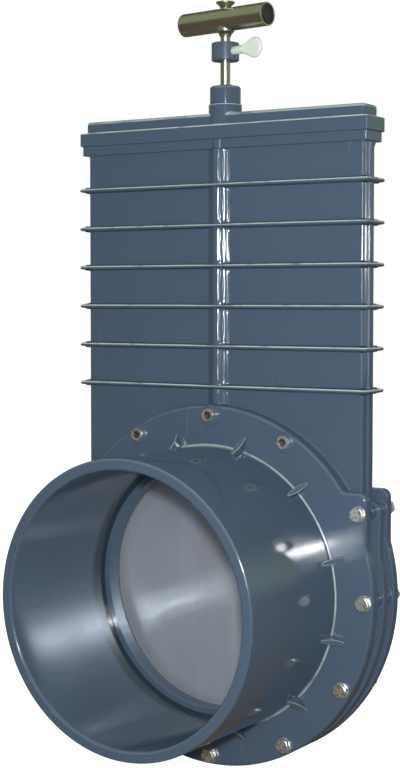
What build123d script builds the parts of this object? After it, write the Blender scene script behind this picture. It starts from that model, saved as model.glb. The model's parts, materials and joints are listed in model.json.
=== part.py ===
"""Push-pull slide gate valve in grey PVC for a 315 mm pipe.

A stainless gate slides between two seals in a flat ribbed casing. Two bolted flanges carry the
pipe sockets, and a rod with a T-handle lifts the gate through a gland on the bonnet cap.

Modelled about the valve's centre: X across the casing, Y along the pipe with the front at -Y, and
Z up along the rod. The finished pieces are moved so that the origin is on the pipe axis in the
plane of the rear socket's mouth.
"""
import os
from math import atan2, cos, degrees, hypot, radians, sin, tan

from build123d import *

# Driving dimensions, in millimetres

# Fits and running gaps
slip_gap = 0.2              # between pieces that slip together before they are cemented
press_gap = 0.05            # between pieces that are pressed together
rod_gap = 0.25              # round the rod in the gland and in the stop collar
seal_gap = 0.4              # from each seat seal to the gate
gate_side_gap = 5.5         # from the gate's edge to the spacer frame
channel_gap = 5.0           # round the gate coupling in its channel

# Pipe line and sockets
pipe_diameter = 315.0
socket_wall = 13.5
front_socket_depth = 187.0  # from the front socket's mouth to the pipe stop
rear_socket_depth = 90.0    # and from the rear one's
stop_ledge = 7.5            # how far the pipe stop stands inside the socket's wall
mouth_bevel = 2.0
mouth_edge = 1.5            # bevel round the outside of the mouth

# Seat seals and gate
seal_setback = 8.0          # seal's inner edge behind the flow bore's wall
seal_width = 10.0
gate_lap = 4.0              # gate's edge beyond the seal
gate_thickness = 4.0
gate_rise = 23.0            # gate's straight top above its round foot's own height
coupling_diameter = 15.0
coupling_lap = 17.0         # how far the coupling's fork straddles the gate
coupling_rise = 25.0        # coupling above the gate's top edge

# Casing, made of two half shells on a U-shaped spacer frame
side_wall = 17.5            # beside the gate's chamber
casing_depth = 29.0
face_wall = 6.5
casing_head = 70.95         # casing's top above the top rib
casing_corner = 3.0
spacer_thickness = 9.0
seam_reach = 3.5            # spacer's edge proud of the casing's sides
seam_flare = 9.0            # height of the seam's flare under the bonnet cap
ring_wall = 30.0            # round the gate's chamber, below the pipe axis
rib_count = 6
rib_pitch = 48.75
rib_tip = 3.4               # rib's thickness at its edge
rib_root = 7.0              # and at the casing
rib_lift = 21.8             # lowest rib above the flange's rim
rib_reach_side = 9.0
rib_reach_face = 8.0
spine_rise = 7.5            # ridge over the rod's channel, proud of the casing's face
spine_crest = 11.0          # radius of the ridge's crest
spine_slope = 34.0          # degrees from the casing's face to the ridge's flanks
spine_root = 3.0

# Flanges and their bolts
flange_thickness = 13.0
pad_thickness = 6.5         # pad behind each flange plate, seated on the casing
flange_edge = 11.5          # beyond the bolt circle
flange_bevel = 2.0
bolt_setout = 0.5           # bolt circle outside the casing's ring
bolt_count = 12
bolt_hole = 11.0
bolt_boss = 18.0
ear_inset = 9.5             # ear's side inside the flange's rim
ear_height = 126.0          # above the pipe axis
ear_corner = 10.0
ear_bolt_drop = 24.0        # ear bolt below the top of its ear
ear_bolt_setout = 5.5       # ear bolt outside the casing's side
spacer_ear_drop = 13.0      # spacer's ear below the flange's ear
spacer_ear_reach = 3.5      # spacer's ear beyond the side of the flange's ear
gusset_reach = 19.0
gusset_length = 24.0
gusset_middle = 6.6         # gusset's thickness where it is fullest
gusset_tip = 1.6            # and at its two tips
bead_size = 1.8             # cement bead where the socket meets the flange
rim_bead_size = 2.0         # cement bead where the flange's pad meets the casing

# Bonnet cap and gland
cap_skirt_height = 11.8
cap_skirt_inset = 2.4
cap_band_height = 16.6
cap_band_lip = 1.1          # band's top above the casing's top
cap_crown_height = 14.4
cap_crown_side = 1.3        # crown's overhang past the casing's sides
cap_crown_face = 2.7        # crown's overhang past the casing's faces
cap_corner = 3.0
cap_round = 4.0
gland_boss_diameter = 40.4
gland_boss_height = 11.1
gland_diameter = 37.4
gland_height = 22.1
gland_bevel = 2.0
rod_seal_diameter = 18.0
rod_seal_depth = 3.6
rod_seal_rise = 1.5

# Lift rod, T-handle, stop collar and thumb screw
rod_diameter = 12.0
collar_diameter = 33.6
collar_height = 21.9
collar_lift = 30.3          # collar above the gland, closed
collar_bevel = 1.0
handle_lift = 27.7          # handle's axis above the collar
handle_diameter = 28.0
handle_wall = 2.0
handle_length = 130.0
handle_turn = -8.0          # degrees about the rod
plug_depth = 9.0
plug_recess = 0.6
plug_bevel = 1.2
saddle_diameter = 22.0
saddle_height = 6.0
saddle_lip = 0.8
saddle_neck_share = 0.55    # share of the saddle's height that is still close to the rod
flare_neck_share = 0.3      # share of a flare's swell that its neck has
head_diameter = 23.0
head_height = 7.4
head_rim = 1.4
head_neck_share = 0.35      # share of the head's height that is still close to the rod
screw_turn = -17.0          # degrees about the rod
screw_diameter = 10.0
screw_neck = 11.6           # from the collar to the paddle
paddle_length = 36.6
paddle_width = 24.6
paddle_thickness = 5.0
paddle_bevel = 1.4
screw_gap = 0.3             # round the screw's shank and at its tip

# Sizes that follow from the ones above

socket_radius = pipe_diameter / 2
socket_outer = socket_radius + socket_wall
flow_radius = socket_radius - stop_ledge
seal_inner = flow_radius + seal_setback
seal_outer = seal_inner + seal_width
gate_half = seal_outer + gate_lap
gate_height = gate_half + gate_rise
chamber_half = gate_half + gate_side_gap

casing_half = chamber_half + side_wall
casing_face = casing_depth / 2
chamber_face = casing_face - face_wall
spacer_face = spacer_thickness / 2
ring_radius = chamber_half + ring_wall
bolt_radius = ring_radius + bolt_setout
flange_radius = bolt_radius + flange_edge
pad_face = casing_face + pad_thickness
flange_face = pad_face + flange_thickness
front_length = flange_face + front_socket_depth
rear_length = flange_face + rear_socket_depth

ear_half = flange_radius - ear_inset
ear_bolt_x = casing_half + ear_bolt_setout
ear_bolt_z = ear_height - ear_bolt_drop
rib_half = casing_half + rib_reach_side
rib_face = casing_face + rib_reach_face
rib_heights = [flange_radius + rib_lift + i * rib_pitch for i in range(rib_count)]
casing_top = rib_heights[-1] + casing_head
spine_face = casing_face + spine_rise
crest_half = spine_crest * sin(radians(spine_slope))
crest_edge = spine_face - spine_crest * (1 - cos(radians(spine_slope)))
spine_half = crest_half + (crest_edge - casing_face) / tan(radians(spine_slope))

rod_radius = rod_diameter / 2
coupling_bottom = gate_height - coupling_lap
coupling_top = gate_height + coupling_rise
channel_radius = coupling_diameter / 2 + channel_gap
channel_foot = coupling_bottom - channel_gap

band_top = casing_top + cap_band_lip
band_bottom = band_top - cap_band_height
skirt_bottom = band_bottom - cap_skirt_height
crown_top = band_top + cap_crown_height
boss_top = crown_top + gland_boss_height
gland_top = boss_top + gland_height
collar_bottom = gland_top + collar_lift
collar_top = collar_bottom + collar_height
collar_radius = collar_diameter / 2
handle_axis = collar_top + handle_lift
handle_radius = handle_diameter / 2
handle_inner = handle_radius - handle_wall
rod_end = handle_axis + handle_radius

front = Plane.XZ            # its normal points out of the valve's front
overrun = 1.0               # how far cutting shapes run past what they cut


def block(half_width, near, far, bottom, top):
    """A box centred on X, from `near` to `far` in front of the middle plane."""
    middle = Pos(0, -(near + far) / 2, (bottom + top) / 2)
    return middle * Box(2 * half_width, far - near, top - bottom)


def upright(radius, bottom, top):
    """A round bar on the rod's axis."""
    return Pos(0, 0, (bottom + top) / 2) * Cylinder(radius, top - bottom)


def slab(outline, near, far):
    """An outline in X and Z made solid, from `near` to `far` in front of the middle plane."""
    return extrude(front.offset(near) * outline, far - near)


def along_pipe(radius, near, far):
    """A round bar on the pipe's axis."""
    return slab(Circle(radius), near, far)


def bolt_places():
    """X and Z of every flange bolt. The first on each side above the pipe axis moves out to its ear."""
    angles = [radians(i * 360 / bolt_count) for i in range(bolt_count)]
    places = [(bolt_radius * cos(angle), bolt_radius * sin(angle)) for angle in angles]
    places[1] = (ear_bolt_x, ear_bolt_z)
    places[bolt_count // 2 - 1] = (-ear_bolt_x, ear_bolt_z)
    return places


def through_bolt_places():
    """The bolts from ear to ear round the foot, which clamp the whole stack."""
    return bolt_places()[bolt_count // 2 - 1:] + bolt_places()[:2]


def spots(places, radius):
    """Circles of one radius at the given X and Z places."""
    return [Pos(x, z) * Circle(radius) for x, z in places]


def chamber_outline(half, top):
    """A U outline: straight sides up to `top` and a half-round foot about the pipe's axis."""
    return Circle(half) + Pos(0, top / 2) * Rectangle(2 * half, top)


def ear_outline(half, top):
    """The straight-sided upper part of a flange, with its two top corners rounded."""
    ear = Pos(0, top / 2) * Rectangle(2 * half, top)
    return fillet(ear.vertices().group_by(Axis.Y)[-1], ear_corner)


def mirrored(piece):
    """The rear twin of a front piece."""
    return mirror(piece, about=front)


# Sockets, flanges and seals


def make_socket(mouth):
    """Pipe socket up to its mouth: a plain tube with a lead-in bevel inside."""
    tube = along_pipe(socket_outer, flange_face, mouth)
    tube = chamfer(tube.edges().group_by(Axis.Y)[0], mouth_edge)
    tube -= along_pipe(socket_radius, flange_face - overrun, mouth + overrun)
    bevel = Cone(socket_radius, socket_radius + mouth_bevel, mouth_bevel)
    return tube - Pos(0, mouth_bevel / 2 - mouth, 0) * Rot(90, 0, 0) * bevel


def make_gusset(angle):
    """Leaf-shaped web in the corner between the socket and its flange, full in the middle."""
    web = make_face(Polyline(
        (bead_size, 0), (gusset_reach, 0), (0, gusset_length), (0, bead_size), close=True))
    web = extrude(web, gusset_middle, both=True)
    slope = hypot(gusset_reach, gusset_length)
    tip, middle, end = gusset_tip / 2, gusset_middle / 2, slope / 2
    leaf = make_face([
        ThreePointArc((-end, tip), (0, middle), (end, tip)),
        Line((end, tip), (end, -tip)),
        ThreePointArc((end, -tip), (0, -middle), (-end, -tip)),
        Line((-end, -tip), (-end, tip)),
    ])
    lean = -degrees(atan2(gusset_length, gusset_reach))
    leaf = Rot(0, 0, lean) * Rot(90, 0, 0) * extrude(leaf, slope, both=True)
    web &= Pos(gusset_reach / 2, gusset_length / 2, 0) * leaf
    return Rot(0, -angle, 0) * Pos(socket_outer, -flange_face, 0) * Rot(180, 0, 0) * web


def make_gussets():
    """The ring of gussets, each half-way between two bolts."""
    return Compound([make_gusset((i + 1 / 2) * 360 / bolt_count) for i in range(bolt_count)])


def bead_ring(radius, seat, size):
    """Sloping bead of cement round a cylinder that stands on a flat face."""
    section = make_face(Polyline((radius, -seat), (radius + size, -seat), (radius, -seat - size), close=True))
    return revolve(section, Axis.Y)


def make_flange():
    """Flange plate with ears, and behind it the pad and bosses that seat on the casing."""
    plate = slab(Circle(flange_radius) + ear_outline(ear_half, ear_height), pad_face, flange_face)
    plate = chamfer(plate.edges().group_by(Axis.Y)[0], flange_bevel)
    over_casing = Pos(0, flange_radius / 2) * Rectangle(2 * (casing_half - casing_corner), flange_radius)
    seat = [Circle(ring_radius), Circle(flange_radius) & over_casing, *spots(bolt_places(), bolt_boss / 2)]
    pad = slab(Sketch() + seat, casing_face, pad_face)
    rim_bead = bead_ring(flange_radius, casing_face, rim_bead_size) & block(
        casing_half - casing_corner, casing_face, pad_face, ear_height, 2 * flange_radius)
    rim_bead -= block(spine_half + spine_root, casing_face - overrun, pad_face, 0, 2 * flange_radius)
    flange = plate + pad + rim_bead + bead_ring(socket_outer, flange_face, bead_size)
    flange -= along_pipe(flow_radius, casing_face - overrun, flange_face + overrun)
    flange -= along_pipe(socket_outer, flange_face, flange_face + bead_size + overrun)
    for spot in spots(bolt_places(), bolt_hole / 2):
        flange -= slab(spot, casing_face - overrun, flange_face + overrun)
    return flange


def make_seat_seal():
    """Rubber ring that the flange clamps against the gate's face."""
    near = gate_thickness / 2 + seal_gap
    ring = along_pipe(seal_outer - press_gap, near, casing_face)
    return ring - along_pipe(seal_inner, near - overrun, casing_face + overrun)


# Casing


def ridge_outline():
    """Plan of the spine over the rod's channel: straight flanks and a round crest."""
    return make_face([
        Line((-spine_half, -casing_face), (-crest_half, -crest_edge)),
        ThreePointArc((-crest_half, -crest_edge), (0, -spine_face), (crest_half, -crest_edge)),
        Line((crest_half, -crest_edge), (spine_half, -casing_face)),
        Line((spine_half, -casing_face), (-spine_half, -casing_face)),
    ])


def shell_section(with_spine):
    """Plan of a half shell, in X and Y, with or without its spine."""
    depth = casing_face - spacer_face
    middle = -(casing_face + spacer_face) / 2
    plan = Pos(0, middle) * Rectangle(2 * casing_half, depth)
    plan = fillet(plan.vertices().group_by(Axis.Y)[0], casing_corner)
    if not with_spine:
        return plan
    plan += ridge_outline()
    corners = plan.vertices().sort_by(lambda v: hypot(abs(v.X) - spine_half, v.Y + casing_face))[:2]
    return fillet(corners, spine_root)


def make_rib(height):
    """One rib right round the casing, thicker at its root."""

    def plan(half_width, face, rise):
        return Pos(0, 0, height + rise) * Rectangle(2 * half_width, 2 * face)

    root, tip = rib_root / 2, rib_tip / 2
    edge = extrude(plan(rib_half, rib_face, -tip), rib_tip)
    under = loft([plan(casing_half, casing_face, -root), plan(rib_half, rib_face, -tip)], ruled=True)
    over = loft([plan(rib_half, rib_face, tip), plan(casing_half, casing_face, root)], ruled=True)
    return under + edge + over


def make_casing_half():
    """Front half shell: face, spine, ribs and the ring round the foot of the gate's chamber."""
    face = extrude(shell_section(with_spine=False), casing_top)
    spine = extrude(Pos(0, 0, flange_radius) * shell_section(with_spine=True), skirt_bottom - flange_radius)
    above_ears = Pos(0, ear_height + ring_radius / 2) * Rectangle(2 * ring_radius, ring_radius)
    foot = Circle(ring_radius) - above_ears
    ring = slab(Sketch() + [foot, *spots(through_bolt_places(), bolt_boss / 2)], spacer_face, casing_face)
    front_side = block(rib_half, spacer_face, rib_face, 0, casing_top)
    shell = face + spine + ring + [make_rib(z) & front_side for z in rib_heights]
    shell -= slab(chamber_outline(chamber_half, casing_top + overrun), spacer_face - overrun, chamber_face)
    shell -= along_pipe(seal_outer, 0, casing_depth)
    return shell - upright(channel_radius, channel_foot, casing_top + overrun)


def make_spacer_frame():
    """U-shaped frame between the half shells, whose edge shows as a seam all round."""
    seam_half = casing_half + seam_reach
    skirt_half = rib_half - cap_skirt_inset
    ear_top = ear_height - spacer_ear_drop
    above = Pos(0, ear_top + flange_radius / 2) * Rectangle(2 * flange_radius, flange_radius)
    outline = Circle(flange_radius) - above + ear_outline(ear_half + spacer_ear_reach, ear_top)
    outline += Pos(0, casing_top / 2) * Rectangle(2 * casing_half, casing_top)
    outline += Pos(0, skirt_bottom / 2) * Rectangle(2 * seam_half, skirt_bottom)
    outline += make_face(Polyline(
        (-skirt_half, skirt_bottom), (skirt_half, skirt_bottom),
        (seam_half, skirt_bottom - seam_flare), (-seam_half, skirt_bottom - seam_flare), close=True))
    frame = slab(outline, -spacer_face, spacer_face)
    middle = block(rib_half, -spacer_face, spacer_face, 0, casing_top)
    frame += [make_rib(z) & middle for z in rib_heights]
    chamber = chamber_outline(chamber_half, casing_top + overrun)
    return frame - slab(chamber, -spacer_thickness, spacer_thickness)


# Bonnet cap and gland


def make_bonnet_cap():
    """Stepped cap cemented over the casing's top, with the boss that carries the gland."""

    def step(half_width, face, bottom, top):
        outline = RectangleRounded(2 * half_width, 2 * face, cap_corner)
        return extrude(Pos(0, 0, bottom) * outline, top - bottom)

    skirt = step(rib_half - cap_skirt_inset, rib_face - cap_skirt_inset, skirt_bottom, band_bottom)
    band = step(rib_half, rib_face, band_bottom, band_top)
    crown = step(casing_half + cap_crown_side, casing_face + cap_crown_face, band_top, crown_top)
    crown = fillet(crown.edges().group_by(Axis.Z)[-1], cap_round)
    ridge = extrude(Pos(0, 0, skirt_bottom) * ridge_outline(), cap_skirt_height)
    boss = upright(gland_boss_diameter / 2, band_top, boss_top)
    cap = skirt + ridge + mirrored(ridge) + band + crown + boss
    cap -= block(casing_half + slip_gap, -casing_face - slip_gap, casing_face + slip_gap,
                 skirt_bottom - overrun, casing_top)
    return cap - upright(rod_radius + rod_gap, casing_top - overrun, boss_top + overrun)


def make_gland():
    """Round gland screwed on the boss, bored for the rod and recessed for its seal."""
    gland = upright(gland_diameter / 2, boss_top, gland_top)
    gland = chamfer(gland.edges().group_by(Axis.Z)[-1], gland_bevel)
    gland -= upright(rod_radius + rod_gap, boss_top - overrun, gland_top + overrun)
    return gland - upright(rod_seal_diameter / 2, gland_top - rod_seal_depth, gland_top + overrun)


def make_rod_seal():
    """Lip ring round the rod in the top of the gland."""
    bottom, top = gland_top - rod_seal_depth, gland_top + rod_seal_rise
    ring = upright(rod_seal_diameter / 2 - press_gap, bottom, top)
    return ring - upright(rod_radius + rod_gap, bottom - overrun, top + overrun)


# Gate, rod and handle


def make_gate():
    """Plate with a half-round foot."""
    return slab(chamber_outline(gate_half, gate_height), -gate_thickness / 2, gate_thickness / 2)


def make_coupling():
    """Round fork that straddles the gate's top edge and carries the rod."""
    coupling = upright(coupling_diameter / 2, coupling_bottom, coupling_top)
    return coupling - block(coupling_diameter, -gate_thickness / 2, gate_thickness / 2, 0, gate_height)


def make_rod():
    """Round bar from the coupling to the top of the handle."""
    return upright(rod_radius, coupling_top, rod_end)


def handle_bar(radius, length):
    """A round bar on the handle's axis."""
    return Pos(0, 0, handle_axis) * Rot(0, 0, handle_turn) * Rot(0, 90, 0) * Cylinder(radius, length)


def make_handle_tube():
    """Cross tube of the T-handle, pierced for the rod."""
    tube = handle_bar(handle_radius, handle_length) - handle_bar(handle_inner, handle_length + overrun)
    return tube - upright(rod_radius + press_gap, collar_top, rod_end + overrun)


def make_handle_plugs():
    """Round plugs pushed into both ends of the handle, a little inside its rims."""
    plugs = handle_bar(handle_inner - press_gap, handle_length - 2 * plug_recess)
    plugs = chamfer(plugs.edges().filter_by(GeomType.CIRCLE), plug_bevel)
    return plugs - handle_bar(handle_radius, handle_length - 2 * (plug_recess + plug_depth))


def flare(neck, rim_radius, neck_end, waist, rim, end):
    """A trumpet on the rod's axis that swells from its neck, past its waist, to its rim."""
    waist_radius = neck + flare_neck_share * (rim_radius - neck)
    outline = Polyline(
        (0, neck_end),
        (neck, neck_end),
        (waist_radius, waist),
        (rim_radius, rim),
        (rim_radius, end),
        (0, end),
        close=True)
    return revolve(Plane.XZ * make_face(outline), Axis.Z)


def make_saddle():
    """Weld flare under the handle tube."""
    under = handle_axis - handle_radius
    bottom = under - saddle_height
    waist = bottom + saddle_neck_share * saddle_height
    cone = flare(rod_radius + saddle_lip, saddle_diameter / 2, bottom, waist, under, handle_axis)
    cone -= handle_bar(handle_radius, handle_length)
    return cone - upright(rod_radius + press_gap, bottom - overrun, rod_end)


def make_rod_head():
    """Dished head on the rod's end, above the handle."""
    top = rod_end + head_height
    waist = rod_end + head_neck_share * head_height
    return flare(rod_radius, head_diameter / 2, rod_end, waist, top - head_rim, top)


# Stop collar and thumb screw


def screw_frame():
    """Where the thumb screw's axis leaves the rod."""
    return Pos(0, 0, (collar_bottom + collar_top) / 2) * Rot(0, 0, screw_turn)


def make_collar():
    """Ring on the rod that stops it at a set height."""
    collar = upright(collar_radius, collar_bottom, collar_top)
    collar = chamfer(collar.edges(), collar_bevel)
    collar -= upright(rod_radius + rod_gap, collar_bottom - overrun, collar_top + overrun)
    hole = Rot(0, 90, 0) * Cylinder(screw_diameter / 2 + screw_gap, collar_diameter,
                                    align=(Align.CENTER, Align.CENTER, Align.MIN))
    return collar - screw_frame() * hole


def make_thumb_screw():
    """Moulded screw with a flat paddle, whose tip bears on the rod."""
    tip = rod_radius + screw_gap
    paddle_start = collar_radius + screw_neck
    shank_length = paddle_start + screw_diameter / 2 - tip
    shank = Pos(tip, 0, 0) * Rot(0, 90, 0) * Cylinder(
        screw_diameter / 2, shank_length, align=(Align.CENTER, Align.CENTER, Align.MIN))
    end = Pos(paddle_start + paddle_length - paddle_width / 2, 0) * Circle(paddle_width / 2)
    root = Pos(paddle_start + screw_diameter / 2, 0) * Circle(screw_diameter / 2)
    paddle = extrude(Plane.XZ * make_hull(end.edges() + root.edges()), paddle_thickness / 2, both=True)
    paddle = chamfer(paddle.edges().filter_by(Plane.XZ), paddle_bevel)
    return screw_frame() * (shank + paddle)


# Hand over every piece, moved to the rear socket's mouth


def make_pieces():
    """Every piece by name."""
    flange, gussets = make_flange(), make_gussets()
    seal, shell = make_seat_seal(), make_casing_half()
    return {
        "front_socket": make_socket(front_length),
        "rear_socket": mirrored(make_socket(rear_length)),
        "front_flange": flange,
        "rear_flange": mirrored(flange),
        "front_gussets": gussets,
        "rear_gussets": mirrored(gussets),
        "front_seat_seal": seal,
        "rear_seat_seal": mirrored(seal),
        "front_casing_half": shell,
        "rear_casing_half": mirrored(shell),
        "spacer_frame": make_spacer_frame(),
        "bonnet_cap": make_bonnet_cap(),
        "gland": make_gland(),
        "rod_seal": make_rod_seal(),
        "gate_plate": make_gate(),
        "gate_coupling": make_coupling(),
        "lift_rod": make_rod(),
        "handle_tube": make_handle_tube(),
        "handle_plugs": make_handle_plugs(),
        "handle_saddle": make_saddle(),
        "rod_head": make_rod_head(),
        "stop_collar": make_collar(),
        "thumb_screw": make_thumb_screw(),
    }


os.makedirs("parts", exist_ok=True)
for name, piece in make_pieces().items():
    export_step(Pos(0, -rear_length, 0) * piece, f"parts/{name}.step")
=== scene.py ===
"""Looks of a push-pull slide gate valve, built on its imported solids.

The mouldings and metal pieces are copies of the solids with softened edges, the bolts and screws
are made by node trees, and every finish is procedural. Run as a script, it builds the whole scene.
"""
import json
from math import atan2, cos, exp, hypot, pi, radians, sin

import bmesh
import bpy
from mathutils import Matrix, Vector


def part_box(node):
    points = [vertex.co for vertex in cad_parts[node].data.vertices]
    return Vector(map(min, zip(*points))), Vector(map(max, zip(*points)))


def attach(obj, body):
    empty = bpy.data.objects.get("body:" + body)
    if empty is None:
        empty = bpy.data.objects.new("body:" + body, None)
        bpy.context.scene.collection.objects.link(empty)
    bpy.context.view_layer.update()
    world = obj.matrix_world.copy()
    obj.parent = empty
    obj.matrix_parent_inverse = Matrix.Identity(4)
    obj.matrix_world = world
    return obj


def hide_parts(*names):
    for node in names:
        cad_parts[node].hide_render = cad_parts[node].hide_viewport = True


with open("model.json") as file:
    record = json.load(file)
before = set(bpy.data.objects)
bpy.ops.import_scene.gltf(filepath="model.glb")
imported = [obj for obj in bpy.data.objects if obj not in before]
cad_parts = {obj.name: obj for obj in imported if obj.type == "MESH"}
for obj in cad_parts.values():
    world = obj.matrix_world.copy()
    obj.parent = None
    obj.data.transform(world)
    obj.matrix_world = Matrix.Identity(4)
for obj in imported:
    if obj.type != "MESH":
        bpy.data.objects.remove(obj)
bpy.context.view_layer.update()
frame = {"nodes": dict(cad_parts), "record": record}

bl_info = {
    "name": "Slide Gate Valve Looks",
    "version": (1, 0, 0),
    "blender": (4, 5, 0),
    "location": "View3D > Sidebar > Valve",
    "description": "Softened mouldings, fasteners, finishes and a studio stage for a slide gate valve",
    "category": "Object",
}

record = frame["record"]
body_of_node = {n: body for body, nodes in record["behaviour"]["bodies"].items() for n in nodes}
slot_of_node = {part["node"]: part["material_slot"] for part in record["subparts"]}

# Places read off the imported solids, in metres
flange_low, flange_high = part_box("front_flange")
gate_low, gate_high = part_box("gate_plate")
cap_low, cap_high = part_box("bonnet_cap")
socket_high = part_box("front_socket")[1]
middle_y = (gate_low.y + gate_high.y) / 2
flange_half = middle_y - socket_high.y
floor_z = flange_low.z

# The casing's ribs and spine, in metres like all sizes below
lowest_rib = 0.2413
rib_pitch = 0.04875
spine_half = 0.0150

# Shrink marks along the spine: waves on its flanks, and a swelling on each shoulder of its crest
mark_grid = 0.0004          # spacing of the points across the spine
mark_rows = 16              # rows of points from rib to rib
mark_start = 0.0047         # crest of the first wave, from the spine's middle
mark_pitch = 0.0080
mark_height = 0.0003
split_at_ribs = 0.00004     # height of the half waves
split_between = 0.00011
flank_start = 0.0040        # the waves set in here
flank_full = 0.0056         # and are full from here on
flank_fade = 0.0010
shoulder_place = 0.0022
shoulder_wander = 0.0003
shoulder_width = 0.0012
shoulder_height = 0.00044

# Painted shade in the corner of each socket, and the bead of cement round it
socket_shade_radius = 0.1590
socket_shade_reach = 0.024
socket_shade_fade = 0.010
bead_size = 0.0021

# Rounding of edges
weld = 2e-6                 # points this close count as one
sharp_edge = 25.0           # degrees
edge_steps = 2
tip_steps = 4

# Tones of scuffs, of rubbing with a painted highlight, of painted shade, and of bloom
scuff_tone = (0.30, 0.34, 0.38, 1)
wear_and_highlight_tone = (0.46, 0.54, 0.50, 1)
painted_key_shade_tone = (0.10, 0.10, 0.095, 1)
bloom_tone = (0.05, 0.05, 0.052, 1)


# Settings that a user would change

class ValveFinishes(bpy.types.PropertyGroup):
    """Colours of the valve's finishes, as linear values."""

    pvc: bpy.props.FloatVectorProperty(
        name="PVC", description="Moulded casing, flanges and sockets",
        default=(0.064, 0.097, 0.145), size=3, min=0, max=1, subtype="COLOR")
    collar: bpy.props.FloatVectorProperty(
        name="Collar", description="Turned stop collar on the rod",
        default=(0.075, 0.100, 0.140), size=3, min=0, max=1, subtype="COLOR")
    rubber: bpy.props.FloatVectorProperty(
        name="Rubber", description="Seat seals and rod seal",
        default=(0.018, 0.018, 0.020), size=3, min=0, max=1, subtype="COLOR")
    gate: bpy.props.FloatVectorProperty(
        name="Gate", description="Rolled stainless gate",
        default=(0.55, 0.61, 0.69), size=3, min=0, max=1, subtype="COLOR")
    bright_steel: bpy.props.FloatVectorProperty(
        name="Bright steel", description="Ground lift rod",
        default=(0.62, 0.61, 0.59), size=3, min=0, max=1, subtype="COLOR")
    bolts: bpy.props.FloatVectorProperty(
        name="Bolts", description="Bolts, screws, washers and nuts",
        default=(0.78, 0.78, 0.75), size=3, min=0, max=1, subtype="COLOR")
    handle: bpy.props.FloatVectorProperty(
        name="Handle", description="Polished handle tube",
        default=(0.69, 0.70, 0.62), size=3, min=0, max=1, subtype="COLOR")
    plug: bpy.props.FloatVectorProperty(
        name="Plugs", description="End plugs of the handle",
        default=(0.012, 0.013, 0.016), size=3, min=0, max=1, subtype="COLOR")
    nylon: bpy.props.FloatVectorProperty(
        name="Nylon", description="Translucent thumb screw",
        default=(0.78, 0.86, 0.78), size=3, min=0, max=1, subtype="COLOR")


class ValveSizes(bpy.types.PropertyGroup):
    """Sizes of the fasteners and of the softened edges."""

    bolt_diameter: bpy.props.FloatProperty(
        name="Bolt", description="Diameter of the through bolts' shanks",
        default=0.010, min=0.002, unit="LENGTH")
    flats: bpy.props.FloatProperty(
        name="Across flats", description="Width of the bolt heads and nuts across their flats",
        default=0.016, min=0.004, unit="LENGTH")
    head_height: bpy.props.FloatProperty(
        name="Head height", description="Height of the hexagon heads",
        default=0.0060, min=0.001, unit="LENGTH")
    nut_height: bpy.props.FloatProperty(
        name="Nut height", description="Height of the hexagon nuts",
        default=0.0084, min=0.001, unit="LENGTH")
    bolt_end: bpy.props.FloatProperty(
        name="Bolt end", description="How far a bolt's end stands out of its nut",
        default=0.0035, min=0, unit="LENGTH")
    washer_diameter: bpy.props.FloatProperty(
        name="Washer", description="Diameter of the plain washers",
        default=0.0188, min=0.005, unit="LENGTH")
    washer_thickness: bpy.props.FloatProperty(
        name="Washer thickness", description="Thickness of the plain washers",
        default=0.0014, min=0.0002, unit="LENGTH")
    screw_diameter: bpy.props.FloatProperty(
        name="Socket screw", description="Diameter of the socket screws' heads",
        default=0.016, min=0.004, unit="LENGTH")
    screw_height: bpy.props.FloatProperty(
        name="Socket screw height", description="Height of the socket screws' heads",
        default=0.0062, min=0.001, unit="LENGTH")
    key_flats: bpy.props.FloatProperty(
        name="Key", description="Width of the hexagon socket across its flats",
        default=0.0085, min=0.001, unit="LENGTH")
    seat_diameter: bpy.props.FloatProperty(
        name="Screw seat", description="Diameter of the raised seat under each socket screw",
        default=0.026, min=0.005, unit="LENGTH")
    seat_height: bpy.props.FloatProperty(
        name="Screw seat height", description="Height of the raised seats",
        default=0.0012, min=0.0002, unit="LENGTH")
    moulded_edge: bpy.props.FloatProperty(
        name="Moulded edge", description="Rounding on the mouldings' edges",
        default=0.0010, min=0, unit="LENGTH")
    rib_round: bpy.props.FloatProperty(
        name="Rib tips", description="Rounding on the edges of the casing's ribs",
        default=0.0014, min=0, unit="LENGTH")
    steel_edge: bpy.props.FloatProperty(
        name="Steel edge", description="Rounding on the steel pieces' edges",
        default=0.0003, min=0, unit="LENGTH")


class ValveStage(bpy.types.PropertyGroup):
    """Camera, light and floor."""

    camera_place: bpy.props.FloatVectorProperty(
        name="Camera", description="Place of the camera",
        default=(1.0290, -1.7816, 0.3491), size=3, subtype="TRANSLATION")
    camera_turn: bpy.props.FloatVectorProperty(
        name="Camera turn", description="Turn of the camera",
        default=(radians(86.914), 0, radians(32.734)), size=3, subtype="EULER")
    focal_length: bpy.props.FloatProperty(
        name="Focal length", description="Lens for a 36 mm sensor, in millimetres",
        default=74.84, min=10)
    flash_power: bpy.props.FloatProperty(
        name="Flash", description="Power of the small lamp beside the camera",
        default=26.5, min=0, unit="POWER")
    strip_power: bpy.props.FloatProperty(
        name="Strip", description="Power of the tall lamp beside the camera",
        default=11.5, min=0, unit="POWER")
    ceiling_power: bpy.props.FloatProperty(
        name="Ceiling", description="Power of the broad lamp overhead",
        default=30.0, min=0, unit="POWER")
    fill_power: bpy.props.FloatProperty(
        name="Fill", description="Power of the broad lamp behind",
        default=60.0, min=0, unit="POWER")
    room_light: bpy.props.FloatProperty(
        name="Room light", description="Strength of the even light from all round",
        default=0.18, min=0)
    floor: bpy.props.FloatVectorProperty(
        name="Floor", description="Colour of the floor",
        default=(0.40, 0.36, 0.32), size=3, min=0, max=1, subtype="COLOR")


class ValveLooks(bpy.types.PropertyGroup):
    """All settings of the valve's looks."""

    finishes: bpy.props.PointerProperty(type=ValveFinishes, name="Finishes", description="Colours")
    sizes: bpy.props.PointerProperty(type=ValveSizes, name="Sizes", description="Sizes")
    stage: bpy.props.PointerProperty(type=ValveStage, name="Stage", description="Camera and light")


# Finishes

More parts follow.
